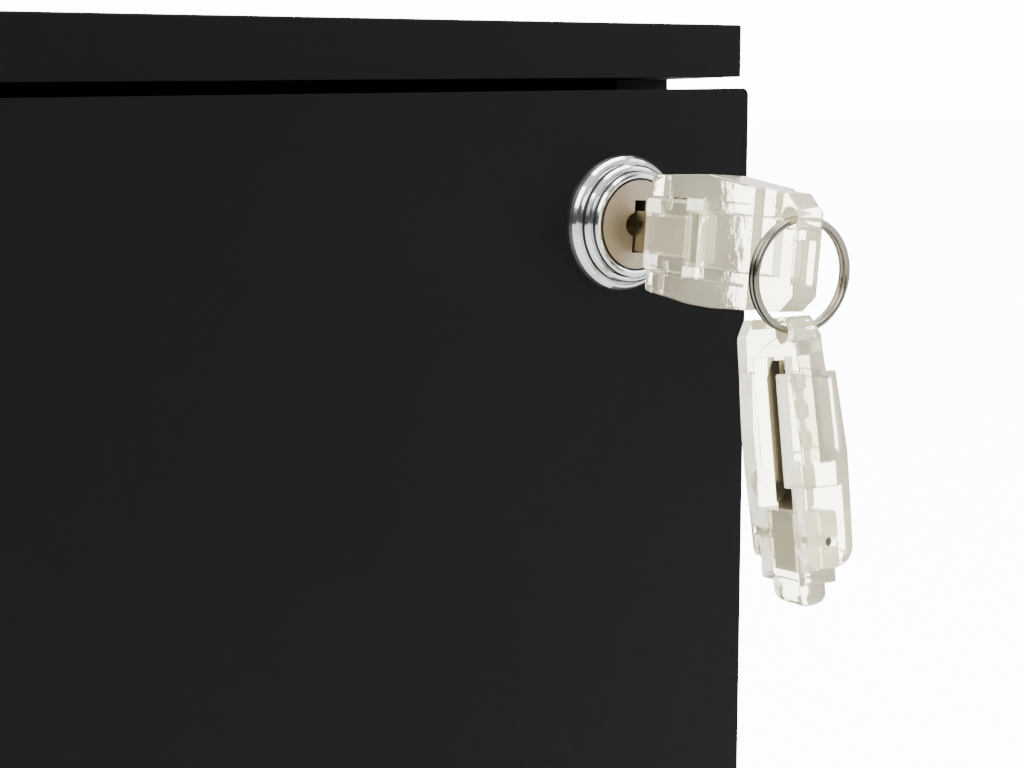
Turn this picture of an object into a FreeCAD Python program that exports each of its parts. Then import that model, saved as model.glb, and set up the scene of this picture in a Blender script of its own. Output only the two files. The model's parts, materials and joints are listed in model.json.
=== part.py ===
import FreeCAD, Part
import math
import os
import Sketcher

# Steel pedestal cabinet on casters: three drawers, a front lock working a
# lock bar, two folding keys on a split ring. Millimetres, +Z up, front = -Y.

os.makedirs("parts", exist_ok=True)
doc = FreeCAD.newDocument("pedestal")
sheet = doc.addObject("Spreadsheet::Sheet", "Dims")
V = FreeCAD.Vector

DIMS = [
    # cabinet
    ("front_w", 390.0), ("depth", 450.0), ("height", 600.0), ("face_y", -191.23),
    ("sheet_t", 0.8), ("top_t", 10.8), ("top_set", 1.43), ("top_w", 389.5),
    ("case_w", 389.0), ("case_front", 27.0), ("gap", 2.4), ("base_z", 60.0), ("base_t", 1.2),
    ("flange_w", 14.5), ("lip", 12.0),
    # drawers
    ("front_h", 173.3), ("front_ret", 10.0), ("inner_w", 354.0), ("inner_d", 20.0),
    ("box_w", 330.0), ("box_len", 400.0), ("box_rise", 7.2), ("box_top", 127.55),
    ("slide_h", 45.0), ("slide_len", 400.0), ("slide_t", 1.2),
    # lock
    ("lock_x", 160.85), ("lock_drop", 39.9), ("rosette_r", 14.0), ("disc_r", 8.88),
    ("disc_out", 6.07), ("plug_r", 7.0), ("housing_r", 9.15), ("crank_r", 8.0),
    # keys
    ("pin_out", 17.4), ("key_c", -1.3), ("hole_u", 36.2), ("hole_w", 5.3), ("hole_rad", 1.9),
    ("head_end", 38.8), ("head_half", 4.5), ("end_half", 2.6), ("ring_r", 9.7), ("wire_r", 0.6),
    # casters
    ("caster_x", 150.0), ("caster_front", 62.0), ("caster_rear", 400.0), ("trail", 14.0),
    ("wheel_r", 22.5), ("wheel_w", 17.0), ("axle_r", 3.0),
    ("tip_wheel_r", 20.0), ("tip_axle_z", 23.0), ("tip_axle_d", 26.0),
]
for i, (name, value) in enumerate(DIMS):
    sheet.set("A%d" % (i + 1), name)
    sheet.set("B%d" % (i + 1), repr(value))
    sheet.setAlias("B%d" % (i + 1), name)
doc.recompute()


class Q:
    """A size with its value and its spreadsheet expression."""

    def __init__(self, v, s=None):
        self.v = float(v)
        self.s = s if s is not None else ("(%r)" % float(v) if v < 0 else "%r" % float(v))

    def _b(self, o, f, sym, rev=False):
        o = o if isinstance(o, Q) else Q(o)
        a, b = (o, self) if rev else (self, o)
        return Q(f(a.v, b.v), "(%s %s %s)" % (a.s, sym, b.s))

    def __add__(self, o): return self._b(o, lambda a, b: a + b, "+")
    def __radd__(self, o): return self._b(o, lambda a, b: a + b, "+", True)
    def __sub__(self, o): return self._b(o, lambda a, b: a - b, "-")
    def __rsub__(self, o): return self._b(o, lambda a, b: a - b, "-", True)
    def __mul__(self, o): return self._b(o, lambda a, b: a * b, "*")
    def __rmul__(self, o): return self._b(o, lambda a, b: a * b, "*", True)
    def __truediv__(self, o): return self._b(o, lambda a, b: a / b, "/")
    def __neg__(self): return Q(0) - self


D = {name: Q(value, "Dims." + name) for name, value in DIMS}


def q(x):
    return x if isinstance(x, Q) else Q(x)


def bind(obj, prop, x):
    x = q(x)
    obj.setExpression(prop, x.s)


count = [0]


def tag(kind):
    count[0] += 1
    return "%s%04d" % (kind, count[0])


def place(obj, x, y, z, rot=None):
    x, y, z = q(x), q(y), q(z)
    obj.Placement = FreeCAD.Placement(V(x.v, y.v, z.v), rot or FreeCAD.Rotation())
    bind(obj, ".Placement.Base.x", x)
    bind(obj, ".Placement.Base.y", y)
    bind(obj, ".Placement.Base.z", z)


def box(x0, x1, y0, y1, z0, z1):
    x0, x1, y0, y1, z0, z1 = map(q, (x0, x1, y0, y1, z0, z1))
    b = doc.addObject("Part::Box", tag("box"))
    bind(b, "Length", x1 - x0)
    bind(b, "Width", y1 - y0)
    bind(b, "Height", z1 - z0)
    place(b, x0, y0, z0)
    return b


ROT = {"z": FreeCAD.Rotation(), "x": FreeCAD.Rotation(V(0, 1, 0), 90), "y": FreeCAD.Rotation(V(1, 0, 0), -90)}


def cyl(axis, x, y, z, r, length):
    """Cylinder from the given base point along +axis."""
    c = doc.addObject("Part::Cylinder", tag("cyl"))
    bind(c, "Radius", r)
    bind(c, "Height", length)
    place(c, x, y, z, ROT[axis])
    return c


def fuse(parts):
    if len(parts) == 1:
        return parts[0]
    f = doc.addObject("Part::MultiFuse", tag("fuse"))
    f.Shapes = parts
    return f


def group(parts):
    c = doc.addObject("Part::Compound", tag("group"))
    c.Links = parts
    return c


def cut(base, tools):
    c = doc.addObject("Part::Cut", tag("cut"))
    c.Base = base
    c.Tool = fuse(tools) if isinstance(tools, list) else tools
    return c


def common(parts):
    c = doc.addObject("Part::MultiCommon", tag("com"))
    c.Shapes = parts
    return c


def mirror_x(src):
    m = doc.addObject("Part::Mirroring", tag("mir"))
    m.Source = src
    m.Normal = V(1, 0, 0)
    m.Base = V(0, 0, 0)
    return m


def filletz(src, r, pick):
    """Round the edges of src that pick() accepts; the size is read from r."""
    doc.recompute()
    f = doc.addObject("Part::Fillet", tag("fil"))
    f.Base = src
    f.Edges = [(i + 1, r, r) for i, e in enumerate(src.Shape.Edges) if pick(e)]
    return f


def chamf(src, r, pick):
    doc.recompute()
    f = doc.addObject("Part::Chamfer", tag("cha"))
    f.Base = src
    f.Edges = [(i + 1, r, r) for i, e in enumerate(src.Shape.Edges) if pick(e)]
    return f


def vertical(e):
    a, b = e.Vertexes[0].Point, e.Vertexes[-1].Point
    return abs(a.x - b.x) < 1e-6 and abs(a.y - b.y) < 1e-6 and abs(a.z - b.z) > 1e-6


def plane_of(body, role):
    return [f for f in body.Origin.OriginFeatures if f.Role == role][0]


def sketch_poly(body, role, loops, circles=()):
    sk = body.newObject("Sketcher::SketchObject", tag("sk"))
    sk.AttachmentSupport = [(plane_of(body, role), "")]
    sk.MapMode = "FlatFace"
    first = 0
    for pts in loops:
        n = len(pts)
        pts = [(q(a), q(b)) for a, b in pts]
        for i in range(n):
            a, c = pts[i], pts[(i + 1) % n]
            sk.addGeometry(Part.LineSegment(V(a[0].v, a[1].v, 0), V(c[0].v, c[1].v, 0)))
        for i in range(n):
            sk.addConstraint(Sketcher.Constraint("Coincident", first + i, 2, first + (i + 1) % n, 1))
        for i in range(n):
            ix = sk.addConstraint(Sketcher.Constraint("DistanceX", -1, 1, first + i, 1, pts[i][0].v))
            iy = sk.addConstraint(Sketcher.Constraint("DistanceY", -1, 1, first + i, 1, pts[i][1].v))
            sk.setExpression("Constraints[%d]" % ix, pts[i][0].s)
            sk.setExpression("Constraints[%d]" % iy, pts[i][1].s)
        first += n
    for (a, b, r) in circles:
        a, b, r = q(a), q(b), q(r)
        sk.addGeometry(Part.Circle(V(a.v, b.v, 0), V(0, 0, 1), r.v))
        i0 = sk.addConstraint(Sketcher.Constraint("DistanceX", -1, 1, first, 3, a.v))
        i1 = sk.addConstraint(Sketcher.Constraint("DistanceY", -1, 1, first, 3, b.v))
        i2 = sk.addConstraint(Sketcher.Constraint("Radius", first, r.v))
        sk.setExpression("Constraints[%d]" % i0, a.s)
        sk.setExpression("Constraints[%d]" % i1, b.s)
        sk.setExpression("Constraints[%d]" % i2, r.s)
        first += 1
    return sk


def pad_body(role, loops, length, x=0, y=0, z=0, circles=(), rot=None, both=False):
    """Padded profile. XY pads along +Z, XZ along -Y, YZ along +X."""
    b = doc.addObject("PartDesign::Body", tag("body"))
    sk = sketch_poly(b, role, loops, circles)
    p = b.newObject("PartDesign::Pad", tag("pad"))
    p.Profile = sk
    length = q(length)
    p.Length = length.v
    bind(p, "Length", length)
    p.Midplane = both
    b.Tip = p
    sk.Visibility = False
    place(b, x, y, z, rot)
    return b


def rev_body(pts, x=0, y=0, z=0, rot=None):
    """Profile (radius, height) turned about the local Z axis."""
    b = doc.addObject("PartDesign::Body", tag("body"))
    sk = sketch_poly(b, "XZ_Plane", [pts])
    r = b.newObject("PartDesign::Revolution", tag("rev"))
    r.Profile = sk
    r.ReferenceAxis = (sk, ["V_Axis"])
    r.Angle = 360.0
    b.Tip = r
    place(b, x, y, z, rot)
    return b


OUT = []


def node(name, obj):
    obj.Label = name
    OUT.append((name, obj))
    return obj


# ---------------------------------------------------------------- shorthand
W, DEP, HT, FY, t = D["front_w"], D["depth"], D["height"], D["face_y"], D["sheet_t"]
HW = W / 2
BACK = FY + DEP
top0 = HT - D["top_t"]                       # underside of the top
cx = D["case_w"] / 2                         # case outer half width
cf = FY + D["case_front"]                    # front flange plane of the case
z0, bt = D["base_z"], D["base_t"]


def fy(d):
    return FY + d


# ---------------------------------------------------------------- case
tw = D["top_w"] / 2
ty = FY + D["top_set"]
outer = filletz(box(-tw, tw, ty, BACK, top0, HT), 1.5, vertical)
top = cut(outer, [box(t - tw, tw - t, ty + t, BACK - t, top0 + t, HT - t),
                  box(14 - tw, tw - 14, ty + 14, BACK - 14, top0 - 1, top0 + t * 2)])
node("top_panel", filletz(top, 0.5, lambda e: e.BoundBox.ZMin > 599.9 and e.Length > 300))

fl, lip = D["flange_w"], D["lip"]
xi = cx - fl


def side_profile():
    r0 = fy(449.2)
    return [(cx, cf), (cx, r0), (cx - 15, r0), (cx - 15, r0 - t), (cx - t, r0 - t), (cx - t, cf + t),
            (xi + t, cf + t), (xi + t, cf + lip), (xi, cf + lip), (xi, cf)]


pts = side_profile()
node("side_panel_right", pad_body("XY_Plane", [pts], top0 - z0, z=z0))
node("side_panel_left", pad_body("XY_Plane", [[(-a, b) for a, b in pts]], top0 - z0, z=z0))

back = cut(box(-cx, cx, fy(449.2), BACK, z0, top0),
           [box(-60 + i * 24, -52 + i * 24, fy(448), fy(451), 500, 540) for i in range(6)])
node("back_panel", back)

# base plate with up-turned flanges and a front rail
bx = cx - t - 0.2
rail_y = cf + t + 0.2
base = fuse([box(-bx, bx, cf + lip + 0.3, fy(448.1), z0, z0 + bt),
             box(-(xi - 0.3), xi - 0.3, cf, cf + lip + 1, z0, z0 + bt),
             box(-bx, t * 1.5 - bx, rail_y + 16, fy(440), z0, z0 + 15),
             box(bx - t * 1.5, bx, rail_y + 16, fy(440), z0, z0 + 15),
             box(-(xi - 0.2), xi - 0.2, cf, cf + bt, z0, z0 + 16)])
node("base_plate", base)

cfx, cfy, cry = D["caster_x"], FY + D["caster_front"], FY + D["caster_rear"]


def hat(y):
    return pad_body("YZ_Plane", [[(-30, 0), (-18, 0), (-18, 9), (18, 9), (18, 0), (30, 0), (30, 1.2), (19.2, 1.2),
                                  (19.2, 10.2), (-19.2, 10.2), (-19.2, 1.2), (-30, 1.2)]],
                    (bx - 3) * 2, x=-(bx - 3), y=y, z=z0 + bt)


node("caster_channels", group([hat(cfy + 10), hat(cry)]))

# runner posts
ux0, ux1 = 177.7, cx - t


def post(y, sgn):
    p = [(ux0, -15), (ux1, -15), (ux1, -13.8), (ux0 + 1.2, -13.8), (ux0 + 1.2, 13.8), (ux1, 13.8), (ux1, 15), (ux0, 15)]
    if sgn < 0:
        p = [(-q(a), b) for a, b in p]
    return pad_body("XY_Plane", [p], 500, y=y, z=75)


node("runner_uprights", group([post(fy(90), 1), post(fy(395), 1), post(fy(90), -1), post(fy(395), -1)]))

# ---------------------------------------------------------------- drawers
g, sh = D["gap"], D["front_h"]
tops = [top0 - 2.42, top0 - 2.42 - sh - g, top0 - 2.42 - (sh + g) * 2]
bots = [z - sh for z in tops]
rise = D["box_rise"]
box0 = [bots[0] + rise, bots[1] + rise, bots[2] + rise + 10.8]
boxh = [D["box_top"] - rise, D["box_top"] - rise, D["box_top"] - rise - 10.8]
slide_c = [z + D["box_top"] - 43.5 for z in bots]
LX = D["lock_x"]
LZ = HT - D["lock_drop"]
fr = D["front_ret"]
iw = D["inner_w"] / 2
idp = D["inner_d"]


def pan(zb, zt, hw, y0, ydep, t, hole):
    """Five-sided pan with its flat face at y0 and returns toward +Y."""
    o = filletz(box(-hw, hw, y0, y0 + ydep, zb, zt), 1.6,
                lambda e: abs(e.Vertexes[0].Point.y - e.Vertexes[-1].Point.y) > 5)
    tools = [box(t - hw, hw - t, y0 + t, y0 + ydep + 1, zb + t, zt - t)]
    if hole:
        tools.append(cyl("y", LX, y0 - 1, LZ, 9.3, ydep + 2))
    return cut(o, tools)


def inner_pan(zb, zt, hole):
    y0, y1 = FY + t, FY + idp
    o = box(-iw, iw, y0, y1, zb, zt)
    tools = [box(t - iw, iw - t, y0 - 1, y1 - t, zb + t, zt - t)]
    if hole:
        tools.append(cyl("y", LX, y0, LZ, 9.3, 30))
    return cut(o, tools)


bw = D["box_w"] / 2
bl = D["box_len"]


def drawer_box(zb, hgt):
    y0 = FY + idp
    o = box(-bw, bw, y0, y0 + bl, zb, zb + hgt)
    inner = box(t - bw, bw - t, y0 + t, y0 + bl - t, zb + t, zb + hgt + 1)
    hem = [box(bw - 7, bw - t / 2, y0 + t, y0 + bl - t, zb + hgt - t, zb + hgt),
           box(-(bw - t / 2), 7 - bw, y0 + t, y0 + bl - t, zb + hgt - t, zb + hgt)]
    lug_z = zb + hgt - 9.5
    lug = fuse([box(bw, bw + 1.6, fy(47), fy(62), lug_z, lug_z + 9.5),
                box(bw, bw + 13.6, fy(47), fy(49), lug_z, lug_z + 9.5)])
    return group([fuse([cut(o, inner)] + hem), lug])      # the catch is a bracket spot-welded to the side


for k in range(3):
    n = k + 1
    node("drawer_%d_front" % n, pan(bots[k], tops[k], HW, FY, fr, t, k == 0))
    node("drawer_%d_inner_front" % n, inner_pan(bots[k] + 1, tops[k] - 1, k == 0))
    node("drawer_%d_box" % n, drawer_box(box0[k], boxh[k]))

# pen tray lying in the front of the top drawer: a base with four edge strips and two dividers
tz = box0[0] + t
tray = [box(-156, 156, fy(23), fy(120.5), tz, tz + 1.8),
        box(-156, 156, fy(23), fy(25.5), tz + 1.8, tz + 26), box(-156, 156, fy(118), fy(120.5), tz + 1.8, tz + 26),
        box(-156, -153.5, fy(25.5), fy(118), tz + 1.8, tz + 26), box(153.5, 156, fy(25.5), fy(118), tz + 1.8, tz + 26)]
dividers = [box(-153.5, 48, fy(62), fy(64), tz + 1.8, tz + 22), box(48, 50, fy(25.5), fy(118), tz + 1.8, tz + 22)]
node("pen_tray", group(tray + dividers))

# ball-bearing runners: three nested channels on each side
st = D["slide_t"]


def channel(xa, xb, half, zc, y0, y1):
    """Channel with its web at xa side and lips toward xb."""
    w0, w1 = (xa, xa + st) if q(xb).v > q(xa).v else (xa - st, xa)
    lo, hi = (xa, xb) if q(xb).v > q(xa).v else (xb, xa)
    return [(w0, w1, zc - half, zc + half), (lo, hi, zc + half - st, zc + half), (lo, hi, zc - half, zc - half + st)], y0, y1


def channel_solid(spec, sgn):
    rects, y0, y1 = spec
    bs = []
    for (a, b, c, d) in rects:
        a, b = q(a), q(b)
        if sgn < 0:
            a, b = -b, -a
        bs.append(box(a, b, y0, y1, c, d))
    return fuse(bs)


outer_all, bump = [], []
for k in range(3):
    zc = slide_c[k]
    o = channel(177.7, 171.0, D["slide_h"] / 2, zc, fy(30), fy(430))
    m = channel(175.5, 168.5, 19.5, zc, fy(32), fy(422))
    i_ = channel(165.0, 172.5, 16.0, zc, fy(24), fy(424))
    outer_all += [channel_solid(o, 1), channel_solid(o, -1)]
    node("drawer_%d_slide_mid_members" % (k + 1), group([channel_solid(m, 1), channel_solid(m, -1)]))
    node("drawer_%d_slide_inner_members" % (k + 1), group([channel_solid(i_, 1), channel_solid(i_, -1)]))
    bump += [box(166.5, 176.5, fy(424.5), fy(430), zc - 10, zc + 10),
             box(-176.5, -166.5, fy(424.5), fy(430), zc - 10, zc + 10)]
node("slide_outer_members", group(outer_all))
node("drawer_bumpers", group(bump))

# ---------------------------------------------------------------- lock
cr = D["crank_r"]
half = cr * math.sqrt(0.5)
slot_x0, slot_x1 = LX - cr - 3.1, LX - half + 3.1
sz = LZ - half
bar_b, bar_t = 120.0, sz + 8
plate = cut(box(slot_x0 - 3.5, 189.5, fy(40), fy(42), sz - 6.2, sz + 6.2),
            box(slot_x0, slot_x1, fy(39), fy(43), sz - 3.1, sz + 3.1))
hooks = [box(170, 182.5, fy(44), fy(46), slide_c[k] + 24.5, slide_c[k] + 32.4) for k in range(3)]
node("lock_bar", fuse([box(181.5, 189.5, fy(42), fy(50), bar_b, bar_t), plate] + hooks))


def guide(z):
    return cut(box(181, cx - t, fy(40.2), fy(52), z, z + 12), box(181 - 1, 190.1, fy(41.4), fy(50.6), z - 1, z + 13))


node("lock_bar_guides", group([guide(255), guide(435)]))

YUP = FreeCAD.Rotation(V(1, 0, 0), 90)        # local +Z becomes -Y
rr = D["rosette_r"]
# (in from the rim, out from the face): a rounded flange, a groove, a second ring
ROSETTE = [(4.8, 0), (0, 0), (0, 0.6), (0.12, 1.3), (0.45, 2.0), (0.95, 2.55), (1.45, 2.82), (1.7, 2.8), (1.85, 2.62),
           (1.88, 3.3), (2.08, 4.0), (2.48, 4.5), (2.9, 4.72), (3.07, 4.7), (3.18, 4.52), (3.22, 5.1), (3.45, 5.72),
           (3.85, 6.08), (4.3, 6.14), (4.65, 5.98), (4.8, 5.6)]
node("lock_rosette", rev_body([(rr - a, b) for a, b in ROSETTE], x=LX, y=FY, z=LZ, rot=YUP))
node("lock_housing", cut(cyl("y", LX, fy(-3.6), LZ, D["housing_r"], 28.6),
                         [cyl("y", LX, fy(-4), LZ, D["plug_r"] + 0.35, 30)]))
hexa = [(13.6 * math.cos(math.radians(60 * i)), 13.6 * math.sin(math.radians(60 * i))) for i in range(6)]
node("lock_nut", pad_body("XZ_Plane", [hexa], 4.5, x=LX, y=fy(24.5), z=LZ, circles=[(0, 0, D["housing_r"] + 0.05)]))

LEAN = 5.0                                    # the key and plug stand turned a little
lean = FreeCAD.Rotation(V(0, 1, 0), LEAN)


def turned(obj):
    """Turn an assembly about the lock axis; it is built around the origin."""
    place(obj, LX, FY, LZ, lean)
    return obj


dr, do, pr = D["disc_r"], D["disc_out"], D["plug_r"]
plug = cut(fuse([cyl("y", 0, -do, 0, dr, 2.0), cyl("y", 0, -do, 0, pr, do + 26.5), box(-2.4, 2.4, 26.4, 28.6, -2.4, 2.4)]),
           [box(-1.35, 1.35, -7, 17, -5.65, 4.9), cyl("y", -1.0, -7, 0, 2.3, 5.0)] +
           [box(-8, 8, 1.0 + 4.0 * i, 2.4 + 4.0 * i, -6.2, 6.2) for i in range(4)])
plug = group([plug])
node("lock_plug", turned(plug))
wafers = group([cut(box(-6.0, 6.0, 1.2 + 4.0 * i, 2.2 + 4.0 * i, -6.0, 6.0), box(-1.5, 1.5, 0, 20, -5.65, 5.2)) for i in range(4)])
wround = common([wafers, cyl("y", 0, 0, 0, pr - 0.3, 18)])
node("lock_wafers", turned(group([wround])))

cz = cr * math.sqrt(0.5)
square = group([box(-2.45, 2.45, 26, 29, -2.45, 2.45)])
place(square, 0, 0, 0, lean)
arm = pad_body("XZ_Plane", [[(4.4, 1.6), (1.6, 4.4), (-9.0, -2.9), (-9.4, -6.6), (-6.6, -9.4), (-2.9, -9.0)]], 2.2, y=28.7)
cam = group([fuse([cut(fuse([arm, cyl("y", 0, 26.5, 0, 5.2, 2.2)]), square),
                   cyl("y", -cz, 28.0, -cz, 2.5, 18)])])
place(cam, LX, FY, LZ)
node("lock_cam", cam)
node("lock_cam_screw", fuse([cyl("y", LX, fy(28.75), LZ, 4.0, 2.4)]))

# ---------------------------------------------------------------- folding keys
# Key frame: origin on the lock axis at the drawer face, shaft toward -Y.
po, kc = D["pin_out"], D["key_c"]
hu, hwd, hr, he, hh = D["hole_u"], D["hole_w"], D["hole_rad"], D["head_end"], D["head_half"]


def key_head():
    """Head: u along -Y from the pin, w along +Z from the key centre line."""
    def P(u, w):
        return (-(q(u)), w)
    outline = [P(-5, 11.2), P(-5, 7.4), P(9.2, 7.4), P(9.2, 5.2), P(13.4, 5.2), P(13.4, -5.2), P(9.2, -5.2), P(9.2, -7.4),
               P(-5, -7.4), P(-5, -10.9), P(4, -11.5), P(11, -12.1), P(18, -12.1), P(he - 3.0, -10.8), P(he, -8.0),
               P(he, 6.6), P(he - 3.4, 9.6), P(he - 6.4, 9.8), P(15.4, 12.0), P(6, 11.7)]
    body = pad_body("YZ_Plane", [outline], hh * 2, x=-hh, circles=[(-hu, hwd, hr)])
    body = filletz(body, 4.2, lambda e: vertical(e) and abs(e.Vertexes[0].Point.y - 5.0) < 1e-6)
    eh = D["end_half"]
    tools = [box(eh, hh + 1, -he - 1, -29, -13, 13), box(-hh - 1, -eh, -he - 1, -29, -13, 13),
             box(eh, hh + 1, -30, 6, -13, -5.2),                      # the rail away from the hole is thinner
             box(-1.5, hh + 1, -31.9, -13, -5.2, 5.2),                # blade recess
             box(-1.5, 1.5, -he - 1, -he + 1.8, -6.0, 1.8),           # pocket in the end face
             box(-hh - 1, -hh + 0.6, -27.6, -15.0, -7.2, 7.2)]        # sunk panel on the web
    pinhole = cyl("z", 0, 0, -12, 0.82, 24)
    corners = [pad_body("YZ_Plane", [pts], hh * 2 + 2, x=-hh - 1) for pts in (
        [(5.0, 9.6), (4.55, 10.6), (3.6, 11.22), (3.0, 11.29), (3.0, 12.5), (6, 12.5), (6, 9.6)],
        [(5.0, -9.3), (4.55, -10.3), (3.6, -10.95), (3.0, -11.03), (3.0, -12.5), (6, -12.5), (6, -9.3)])]
    return cut(body, tools + corners + [pinhole])


def key_knuckle():
    b = filletz(box(-3.6, 3.6, -8.0, 4.8, -7.1, 7.1), 0.9, lambda e: not vertical(e))
    tail = filletz(box(-2.6, 2.6, -12.4, -7.0, -4.6, 4.6), 2.4, lambda e: abs(e.BoundBox.YMax + 12.4) < 1e-6)
    return cut(fuse([b, tail]), [cyl("z", 0, 0, 4.9, 0.85, 4), cyl("z", 0, 0, -8.9, 0.85, 4),
                                 box(-1.05, 1.05, -6.0, 8.0, -4.05, 4.05)])


def key_blade():
    up = [(-5.9, -3.4), (5.6, -3.4), (5.6, -4.0), (28.2, -4.0), (31.3, -1.6), (31.3, 0.6), (28.4, 4.0), (26.0, 4.0), (25.0, 2.8),
          (24.0, 2.8), (23.0, 4.0), (21.0, 4.0), (20.0, 2.4), (19.0, 2.4), (18.0, 4.0), (15.8, 4.0), (14.8, 3.0), (13.8, 3.0),
          (12.8, 4.0), (5.6, 4.0), (5.6, 3.4), (-5.9, 3.4)]
    b = pad_body("YZ_Plane", [up], 2.0, x=-1.0)
    return cut(b, [box(0.45, 2, 9.0, 32, -1.2, -0.1), box(-2, -0.45, 9.0, 32, 0.9, 2.0)])


def key_pin():
    """Two short pivot stubs, one in each ear, clear of the blade's root."""
    return group([cyl("z", 0, 0, 5.2, 0.8, 5.4), cyl("z", 0, 0, -10.6, 0.8, 5.4)])


def put(obj, base, rot):
    g_ = group([obj])
    place(g_, base[0], base[1], base[2], rot)
    return g_


# key 1: in the lock. Its pin stands at pin_out in front of the face, and its head is turned a little on the pin.
TURN = -3.2
sn, cs = math.sin(math.radians(LEAN)), math.cos(math.radians(LEAN))
k1 = (LX + kc * sn, FY - po, LZ + kc * cs)
headrot = lean.multiply(FreeCAD.Rotation(V(0, 0, 1), TURN))
node("key_1_head", put(key_head(), k1, headrot))
node("key_1_knuckle", put(key_knuckle(), k1, lean))
node("key_1_blade", put(key_blade(), k1, lean))
node("key_1_pin", put(key_pin(), k1, headrot))

# split ring: two turns side by side, hanging in the hole
su, cu = math.sin(math.radians(TURN)), math.cos(math.radians(TURN))
RYAW = -6.0                                   # the ring's plane stands turned a little too
ryaw = FreeCAD.Rotation(V(0, 0, 1), RYAW)
rsn, rcs = math.sin(math.radians(RYAW)), math.cos(math.radians(RYAW))
hx = LX + (kc + hwd) * sn + hu * su * cs
hz = LZ + (kc + hwd) * cs - hu * su * sn
ry = FY - po - hu * cu
R, wr = D["ring_r"], D["wire_r"]


def torus(off):
    tt = doc.addObject("Part::Torus", tag("tor"))
    bind(tt, "Radius1", R)
    bind(tt, "Radius2", wr)
    place(tt, hx - off * rsn, ry + off * rcs, hz - R, ryaw.multiply(ROT["y"]))
    return tt


node("key_ring", fuse([torus(-0.55), torus(0.55)]))

# key 2: folded, hanging from the bottom of the ring
TILT, KYAW, SLIP = 11.0, -12.5, -0.8
flip = FreeCAD.Rotation(V(0, 0, 1), 180)
# local: -Y (toward the head end) must point up, +Z (hole side) toward -Y
kyaw = FreeCAD.Rotation(V(0, 0, 1), KYAW)
r2 = kyaw.multiply(FreeCAD.Rotation(V(1, 0, 0), 90 - TILT)).multiply(flip)
st_, ct_ = math.sin(math.radians(TILT)), math.cos(math.radians(TILT))
h2 = (hx + SLIP * rcs, ry + SLIP * rsn, hz - 2 * R)          # it has slipped a little along the wire
swing = hwd * ct_ - hu * st_                  # how far the pin hangs behind the hole, along the turned key
ksn, kcs = math.sin(math.radians(KYAW)), math.cos(math.radians(KYAW))
k2 = (h2[0] - swing * ksn, h2[1] + swing * kcs, h2[2] - hu * ct_ - hwd * st_)
fold = FreeCAD.Rotation(V(0, 0, 1), 180)
r2f = r2.multiply(fold)
node("key_2_head", put(key_head(), k2, r2))
node("key_2_knuckle", put(key_knuckle(), k2, r2f))
node("key_2_blade", put(key_blade(), k2, r2f))
node("key_2_pin", put(key_pin(), k2, r2))

# ---------------------------------------------------------------- casters
tr, wrad, ww, ar = D["trail"], D["wheel_r"], D["wheel_w"], D["axle_r"]
CAST = [("fl", -1, cfy), ("fr", 1, cfy), ("rl", -1, cry), ("rr", 1, cry)]
plates, screws = [], []


def fork(x, y):
    crown = cyl("z", x, y, 50.5, 14.5, 3.0)
    leg = [(-8, 53.5), (9, 53.5), (21, 33), (21, 15.5), (7.5, 15.5), (-8, 46)]
    l1 = pad_body("YZ_Plane", [leg], 2.0, x=x + 10.5, y=y)
    l2 = pad_body("YZ_Plane", [leg], 2.0, x=x - 12.5, y=y)
    bridge = box(x - 12.5, x + 12.5, y - 8, y + 9, 50.5, 53.5)
    return cut(fuse([crown, l1, l2, bridge]),
               [cyl("z", x, y, 45, 4.4, 12), cyl("x", x - 14, y + tr, wrad, ar + 0.05, 28)])


def wheel(x, y, r, w, z):
    h = w / 2
    pts = [(ar + 0.35, -h), (6.5, -h), (6.5, -h + 2.2), (r - 6.5, -h + 2.2), (r - 6.5, -h), (r - 2.5, -h), (r, -h + 2.5),
           (r, h - 2.5), (r - 2.5, h), (r - 6.5, h), (r - 6.5, h - 2.2), (6.5, h - 2.2), (6.5, h), (ar + 0.35, h)]
    return rev_body(pts, x=x, y=y, z=z, rot=FreeCAD.Rotation(V(0, 1, 0), 90))


for (cn, s, y) in CAST:
    x = s * cfx
    plates.append(fuse([box(x - 23, x + 23, y - 23, y + 23, z0 - 2, z0), cyl("z", x, y, 49, 4.0, 9.2),
                        cyl("z", x, y, 47.4, 7.0, 2.2), cut(cyl("z", x, y, 54.0, 15.5, 4.2), cyl("z", x, y, 53, 12, 3.4))]))
    for (dx, dy) in ((-17.5, -17.5), (17.5, -17.5), (-17.5, 17.5), (17.5, 17.5)):
        screws.append(cyl("z", x + dx, y + dy, z0 - 4.6, 4.0, 2.6))
    node("caster_%s_fork" % cn, fork(x, y))
    node("caster_%s_axle" % cn, fuse([cyl("x", x - 13.5, y + tr, wrad, ar, 27)]))
    node("caster_%s_wheel" % cn, wheel(x, y + tr, wrad, ww, wrad))
node("caster_plates", group(plates))
node("caster_screws", group(screws))

# fifth wheel under the bottom drawer
az, ad, arr = D["tip_axle_z"], D["tip_axle_d"], D["tip_wheel_r"]
legp = [(10.2, 60.9), (19.8, 60.9), (19.8, 52), (34, 32), (34, 14.5), (18, 14.5), (10.2, 40)]
b1 = pad_body("YZ_Plane", [legp], 2.0, x=9.0, y=FY)
b2 = pad_body("YZ_Plane", [legp], 2.0, x=-11.0, y=FY)
node("anti_tip_bracket", cut(fuse([b1, b2, box(-22, 22, fy(10.2), fy(19.8), 60.9, z0 + 2.98)]), [cyl("x", -14, fy(ad), az, ar + 0.05, 28)]))
node("anti_tip_axle", cyl("x", -12.5, fy(ad), az, ar, 25))
node("anti_tip_wheel", wheel(q(0), FY + ad, arr, q(15), az))

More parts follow.
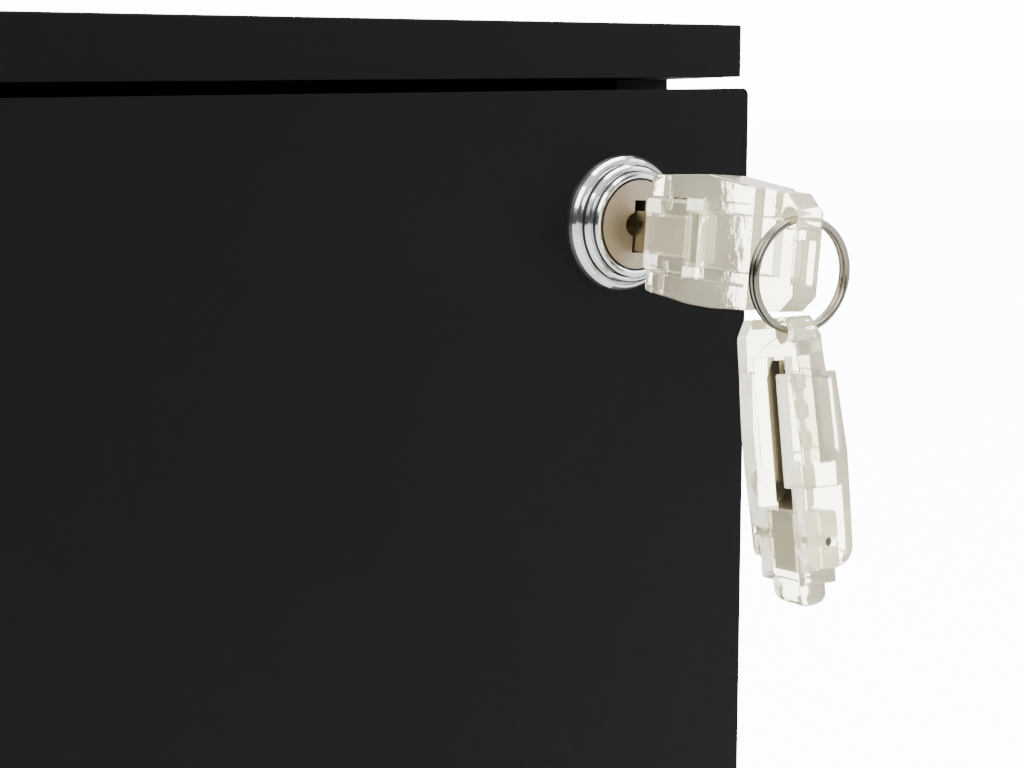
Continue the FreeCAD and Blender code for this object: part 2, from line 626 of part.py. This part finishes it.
# ---------------------------------------------------------------- check and write
doc.recompute()
bad = []
for o in doc.Objects:
    if any(s in ("Invalid", "Error") for s in o.State):
        bad.append((o.Name, o.Label, list(o.State)))
for name, o in OUT:
    s = o.Shape
    if s.isNull() or not s.isValid() or s.Volume <= 0:
        bad.append((name, "shape"))
if bad:
    raise RuntimeError("bad objects: %r" % bad[:12])
whole = None
for name, o in OUT:
    bb = o.Shape.BoundBox
    whole = bb if whole is None else whole.united(bb)
print("nodes", len(OUT), "bbox", whole)
for name, o in OUT:
    o.Shape.exportStep(os.path.join("parts", name + ".step"))
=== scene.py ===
import json
import math

import bmesh
import bpy
from mathutils import Matrix, Vector


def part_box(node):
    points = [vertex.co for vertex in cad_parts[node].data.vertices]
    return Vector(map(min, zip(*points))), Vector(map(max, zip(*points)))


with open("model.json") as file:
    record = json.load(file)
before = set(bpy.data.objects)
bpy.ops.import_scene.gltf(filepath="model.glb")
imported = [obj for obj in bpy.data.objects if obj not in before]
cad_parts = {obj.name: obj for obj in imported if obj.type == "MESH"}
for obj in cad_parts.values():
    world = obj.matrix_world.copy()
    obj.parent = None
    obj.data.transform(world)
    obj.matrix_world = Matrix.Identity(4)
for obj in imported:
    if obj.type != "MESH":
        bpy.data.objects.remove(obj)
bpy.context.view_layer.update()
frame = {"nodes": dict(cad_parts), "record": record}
N = frame["nodes"]

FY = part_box("drawer_1_front")[0][1]
LX, LZ = 0.16085, 0.5601


# ------------------------------------------------------------------ materials
def new_mat(name):
    m = bpy.data.materials.new(name)
    m.use_nodes = True
    nt = m.node_tree
    nt.nodes.clear()
    out = nt.nodes.new("ShaderNodeOutputMaterial")
    p = nt.nodes.new("ShaderNodeBsdfPrincipled")
    nt.links.new(p.outputs["BSDF"], out.inputs["Surface"])
    return m, nt, p


def coords(nt, scale=(1, 1, 1)):
    tc = nt.nodes.new("ShaderNodeTexCoord")
    mp = nt.nodes.new("ShaderNodeMapping")
    mp.inputs["Scale"].default_value = scale
    nt.links.new(tc.outputs["Object"], mp.inputs["Vector"])
    return mp.outputs["Vector"]


def noise(nt, vec, scale, detail=3.0, rough=0.5):
    n = nt.nodes.new("ShaderNodeTexNoise")
    n.inputs["Scale"].default_value = scale
    n.inputs["Detail"].default_value = detail
    n.inputs["Roughness"].default_value = rough
    nt.links.new(vec, n.inputs["Vector"])
    return n.outputs["Fac"]


def ramp(nt, fac, stops):
    r = nt.nodes.new("ShaderNodeValToRGB")
    el = r.color_ramp.elements
    while len(el) < len(stops):
        el.new(0.5)
    for e, (pos, col) in zip(el, stops):
        e.position = pos
        e.color = (*col, 1.0) if len(col) == 3 else col
    nt.links.new(fac, r.inputs["Fac"])
    return r.outputs["Color"]


def rng(nt, fac, lo, hi, a=0.3, b=0.7):
    r = nt.nodes.new("ShaderNodeMapRange")
    r.inputs["From Min"].default_value = a
    r.inputs["From Max"].default_value = b
    r.inputs["To Min"].default_value = lo
    r.inputs["To Max"].default_value = hi
    nt.links.new(fac, r.inputs["Value"])
    return r.outputs["Result"]


def bump(nt, p, heights, strength=0.2, dist=0.0002):
    """heights: list of (factor, weight)."""
    total = None
    for fac, w in heights:
        mul = nt.nodes.new("ShaderNodeMath")
        mul.operation = "MULTIPLY"
        mul.inputs[1].default_value = w
        nt.links.new(fac, mul.inputs[0])
        if total is None:
            total = mul.outputs[0]
        else:
            add = nt.nodes.new("ShaderNodeMath")
            add.operation = "ADD"
            nt.links.new(total, add.inputs[0])
            nt.links.new(mul.outputs[0], add.inputs[1])
            total = add.outputs[0]
    b = nt.nodes.new("ShaderNodeBump")
    b.inputs["Strength"].default_value = strength
    b.inputs["Distance"].default_value = dist
    nt.links.new(total, b.inputs["Height"])
    nt.links.new(b.outputs["Normal"], p.inputs["Normal"])


def powder_coat():
    m, nt, p = new_mat("black_powder_coat")
    v = coords(nt)
    peel = noise(nt, v, 620.0, 2.0)
    fine = noise(nt, v, 2600.0, 2.0)
    wide = noise(nt, v, 9.0, 3.0)
    nt.links.new(ramp(nt, wide, [(0.3, (0.0052, 0.0052, 0.0053)), (0.7, (0.0060, 0.0060, 0.0061))]), p.inputs["Base Color"])
    nt.links.new(rng(nt, peel, 0.46, 0.58), p.inputs["Roughness"])
    p.inputs["Specular IOR Level"].default_value = 0.085
    bump(nt, p, [(peel, 1.0), (fine, 0.35)], 0.12, 0.00012)
    return m


def chrome():
    m, nt, p = new_mat("polished_chrome")
    v = coords(nt)
    a = noise(nt, v, 900.0, 3.0)
    b = noise(nt, v, 60.0, 2.0)
    nt.links.new(ramp(nt, b, [(0.3, (0.80, 0.81, 0.825)), (0.7, (0.86, 0.87, 0.88))]), p.inputs["Base Color"])
    p.inputs["Metallic"].default_value = 1.0
    nt.links.new(rng(nt, a, 0.05, 0.13), p.inputs["Roughness"])
    bump(nt, p, [(b, 1.0), (a, 0.15)], 0.10, 0.0002)
    return m


def metal(name, col_a, col_b, r_lo, r_hi, stretch=(1, 1, 1), grain=1500.0, strength=0.15, scratch=True):
    m, nt, p = new_mat(name)
    v = coords(nt, stretch)
    w = coords(nt)
    g = noise(nt, v, grain, 4.0, 0.6)
    c = noise(nt, w, 45.0, 3.0)
    nt.links.new(ramp(nt, c, [(0.3, col_a), (0.7, col_b)]), p.inputs["Base Color"])
    p.inputs["Metallic"].default_value = 1.0
    nt.links.new(rng(nt, g, r_lo, r_hi), p.inputs["Roughness"])
    bump(nt, p, [(g, 1.0)] + ([(c, 0.5)] if scratch else []), strength, 0.00008)
    return m


def clear_plastic():
    m, nt, p = new_mat("clear_plastic")
    v = coords(nt)
    a = noise(nt, v, 260.0, 3.0)
    f = noise(nt, v, 1400.0, 2.0)
    nt.links.new(ramp(nt, a, [(0.3, (0.985, 0.930, 0.740)), (0.7, (1.0, 0.960, 0.820))]), p.inputs["Base Color"])
    nt.links.new(rng(nt, a, 0.03, 0.12), p.inputs["Roughness"])
    p.inputs["IOR"].default_value = 1.49
    p.inputs["Transmission Weight"].default_value = 0.76
    bump(nt, p, [(a, 1.0), (f, 0.10)], 0.26, 0.0005)
    return m


def plastic(name, col_a, col_b, r_lo, r_hi, scale=700.0, spec=0.4):
    m, nt, p = new_mat(name)
    v = coords(nt)
    g = noise(nt, v, scale, 3.0)
    c = noise(nt, v, 30.0, 3.0)
    nt.links.new(ramp(nt, c, [(0.3, col_a), (0.7, col_b)]), p.inputs["Base Color"])
    nt.links.new(rng(nt, g, r_lo, r_hi), p.inputs["Roughness"])
    p.inputs["Specular IOR Level"].default_value = spec
    bump(nt, p, [(g, 1.0)], 0.15, 0.00015)
    return m


M = {
    "black_paint": powder_coat(),
    "zinc_steel": metal("zinc_plate", (0.50, 0.52, 0.55), (0.62, 0.63, 0.62), 0.24, 0.42),
    "runner_steel": metal("runner_zinc", (0.50, 0.51, 0.52), (0.60, 0.60, 0.60), 0.26, 0.44, (8, 0.3, 8), 700.0),
    "bumper_rubber": plastic("bumper_rubber", (0.012, 0.012, 0.012), (0.02, 0.02, 0.02), 0.7, 0.9),
    "rosette_chrome": chrome(),
    "lock_zinc": metal("die_cast_zinc", (0.32, 0.32, 0.32), (0.42, 0.42, 0.42), 0.42, 0.62, (1, 1, 1), 900.0, 0.3),
    "plug_nickel": metal("satin_nickel", (0.465, 0.400, 0.300), (0.535, 0.468, 0.360), 0.30, 0.46, (1, 1, 14), 900.0, 0.12),
    "brass_wafers": metal("stamped_brass", (0.62, 0.47, 0.20), (0.72, 0.55, 0.26), 0.28, 0.42),
    "key_nickel": metal("key_stock", (0.42, 0.365, 0.24), (0.52, 0.45, 0.31), 0.26, 0.38, (1, 1, 1), 700.0, 0.05, False),
    "clear_plastic": clear_plastic(),
    "ring_steel": metal("ring_wire", (0.27, 0.25, 0.20), (0.35, 0.325, 0.27), 0.14, 0.26, (1, 1, 1), 1800.0, 0.1),
    "tray_plastic": plastic("moulded_tray", (0.014, 0.014, 0.014), (0.020, 0.020, 0.021), 0.45, 0.62),
    "caster_plastic": plastic("black_nylon", (0.018, 0.018, 0.019), (0.026, 0.026, 0.027), 0.38, 0.55),
}

rec = frame["record"]
slot_of = {s["node"]: s["material_slot"] for s in rec["subparts"]}
for name, ob in N.items():
    mat = M[slot_of[name]]
    if ob.material_slots:
        for s in ob.material_slots:
            s.link = "OBJECT"
            s.material = mat
    else:
        ob.data.materials.append(mat)

# ------------------------------------------------------------------ softened edges
def soften(name, width, segments=2, angle=32):
    w = N[name].modifiers.new("join_edges", "WELD")
    w.merge_threshold = 0.000004
    m = N[name].modifiers.new("soft_edges", "BEVEL")
    m.width = width
    m.segments = segments
    m.limit_method = "ANGLE"
    m.angle_limit = math.radians(angle)
    m.use_clamp_overlap = False
    m.harden_normals = False


for k in (1, 2):
    soften("key_%d_head" % k, 0.0003)
    soften("key_%d_knuckle" % k, 0.00025)
    soften("key_%d_blade" % k, 0.00012, 1)

# ------------------------------------------------------------------ stage
def seen_ray(nt):
    """1 for what is seen straight or through clear plastic, less after each mirror bounce, 0 for what only lights."""
    lp = nt.nodes.new("ShaderNodeLightPath")
    mx = nt.nodes.new("ShaderNodeMath")
    mx.operation = "MAXIMUM"
    nt.links.new(lp.outputs["Is Camera Ray"], mx.inputs[0])
    nt.links.new(lp.outputs["Is Transmission Ray"], mx.inputs[1])
    pw = nt.nodes.new("ShaderNodeMath")
    pw.operation = "POWER"
    pw.inputs[0].default_value = 0.32
    nt.links.new(lp.outputs["Glossy Depth"], pw.inputs[1])
    out = nt.nodes.new("ShaderNodeMath")
    out.operation = "MULTIPLY"
    nt.links.new(mx.outputs[0], out.inputs[0])
    nt.links.new(pw.outputs[0], out.inputs[1])
    return out.outputs[0]


floor_mat, nt, p = new_mat("pale_floor")
fv = coords(nt)
fn = noise(nt, fv, 3.0, 4.0)
nt.links.new(ramp(nt, fn, [(0.3, (0.84, 0.84, 0.84)), (0.7, (0.88, 0.88, 0.88))]), p.inputs["Base Color"])
nt.links.new(rng(nt, noise(nt, fv, 240.0), 0.75, 0.9), p.inputs["Roughness"])
ln = nt.nodes.new("ShaderNodeVectorMath")
ln.operation = "LENGTH"
nt.links.new(fv, ln.inputs[0])
# from a soft grey under the cabinet to plain white further out
step = nt.nodes.new("ShaderNodeMapRange")
step.interpolation_type = "SMOOTHSTEP"
step.inputs["From Min"].default_value = 0.15
step.inputs["From Max"].default_value = 0.80
nt.links.new(ln.outputs["Value"], step.inputs["Value"])
grow = nt.nodes.new("ShaderNodeMath")
grow.operation = "POWER"
grow.inputs[0].default_value = 40.0
nt.links.new(step.outputs["Result"], grow.inputs[1])
far_node = nt.nodes.new("ShaderNodeMath")
far_node.operation = "MULTIPLY"
far_node.inputs[1].default_value = 0.30
nt.links.new(grow.outputs[0], far_node.inputs[0])
far = far_node.outputs[0]
mul = nt.nodes.new("ShaderNodeMath")
mul.operation = "MULTIPLY"
nt.links.new(seen_ray(nt), mul.inputs[0])
nt.links.new(far, mul.inputs[1])
p.inputs["Emission Color"].default_value = (1, 1, 1, 1)
nt.links.new(mul.outputs[0], p.inputs["Emission Strength"])
me = bpy.data.meshes.new("floor")
S = 30.0
me.from_pydata([(-S, -S, 0), (S, -S, 0), (S, S, 0), (-S, S, 0)], [], [(0, 1, 2, 3)])
floor = bpy.data.objects.new("floor", me)
bpy.context.scene.collection.objects.link(floor)
me.materials.append(floor_mat)

world = bpy.data.worlds.new("studio")
bpy.context.scene.world = world
world.use_nodes = True
wt = world.node_tree
bg = wt.nodes["Background"]
bg.inputs["Color"].default_value = (1, 1, 1, 1)
# the room as the surfaces meet it: dim in front with a dark band at eye height, bright behind and above
wc = wt.nodes.new("ShaderNodeTexCoord")
ws = wt.nodes.new("ShaderNodeSeparateXYZ")
wt.links.new(wc.outputs["Generated"], ws.inputs[0])
band = ramp(wt, rng(wt, ws.outputs["Z"], 0.0, 1.0, -1.0, 1.0),
            [(0.0, (0.42,) * 3), (0.44, (0.42,) * 3), (0.50, (0.10,) * 3), (0.60, (0.10,) * 3), (0.72, (1.0,) * 3), (1.0, (1.1,) * 3)])
total = wt.nodes.new("ShaderNodeMath")
total.operation = "ADD"
wt.links.new(band, total.inputs[0])
wt.links.new(rng(wt, ws.outputs["Y"], 0.0, 3.0, 0.15, 0.8), total.inputs[1])
total2 = wt.nodes.new("ShaderNodeMath")
total2.operation = "ADD"
wt.links.new(total.outputs[0], total2.inputs[0])
wt.links.new(rng(wt, seen_ray(wt), 0.0, 12.0, 0.0, 1.0), total2.inputs[1])
wt.links.new(total2.outputs[0], bg.inputs["Strength"])


def area(name, loc, target, size, power, color=(1, 1, 1)):
    d = bpy.data.lights.new(name, "AREA")
    d.shape = "RECTANGLE"
    d.size, d.size_y = size
    d.energy = power
    d.color = color
    o = bpy.data.objects.new(name, d)
    bpy.context.scene.collection.objects.link(o)
    o.location = loc
    o.rotation_euler = (Vector(target) - Vector(loc)).to_track_quat("-Z", "Y").to_euler()
    return o


area("key_light", (-1.2, -1.6, 1.9), (0.1, FY, 0.5), (1.2, 1.2), 28)
area("top_light", (0.35, FY - 0.16, 1.6), (0.25, FY - 0.05, 0.56), (1.0, 0.4), 9)
area("fill_light", (1.6, -1.3, 1.2), (0.1, FY, 0.5), (1.0, 1.4), 12)

# ------------------------------------------------------------------ camera
yaw, pitch, roll = (math.radians(a) for a in (32.131, -11.761, -1.079))
fw = Vector((math.sin(yaw) * math.cos(pitch), math.cos(yaw) * math.cos(pitch), math.sin(pitch)))
rt = Vector((math.cos(yaw), -math.sin(yaw), 0))
up = rt.cross(fw)
r2 = rt * math.cos(roll) + up * math.sin(roll)
u2 = -rt * math.sin(roll) + up * math.cos(roll)
cam_data = bpy.data.cameras.new("camera")
cam_data.sensor_width = 36.0
cam_data.lens = 47.33
cam_data.clip_start = 0.01
cam_data.clip_end = 100
cam = bpy.data.objects.new("camera", cam_data)
bpy.context.scene.collection.objects.link(cam)
cam.matrix_world = Matrix((
    (r2.x, u2.x, -fw.x, -0.006098),
    (r2.y, u2.y, -fw.y, FY - 0.2226),
    (r2.z, u2.z, -fw.z, 0.584455),
    (0, 0, 0, 1)))
bpy.context.scene.camera = cam
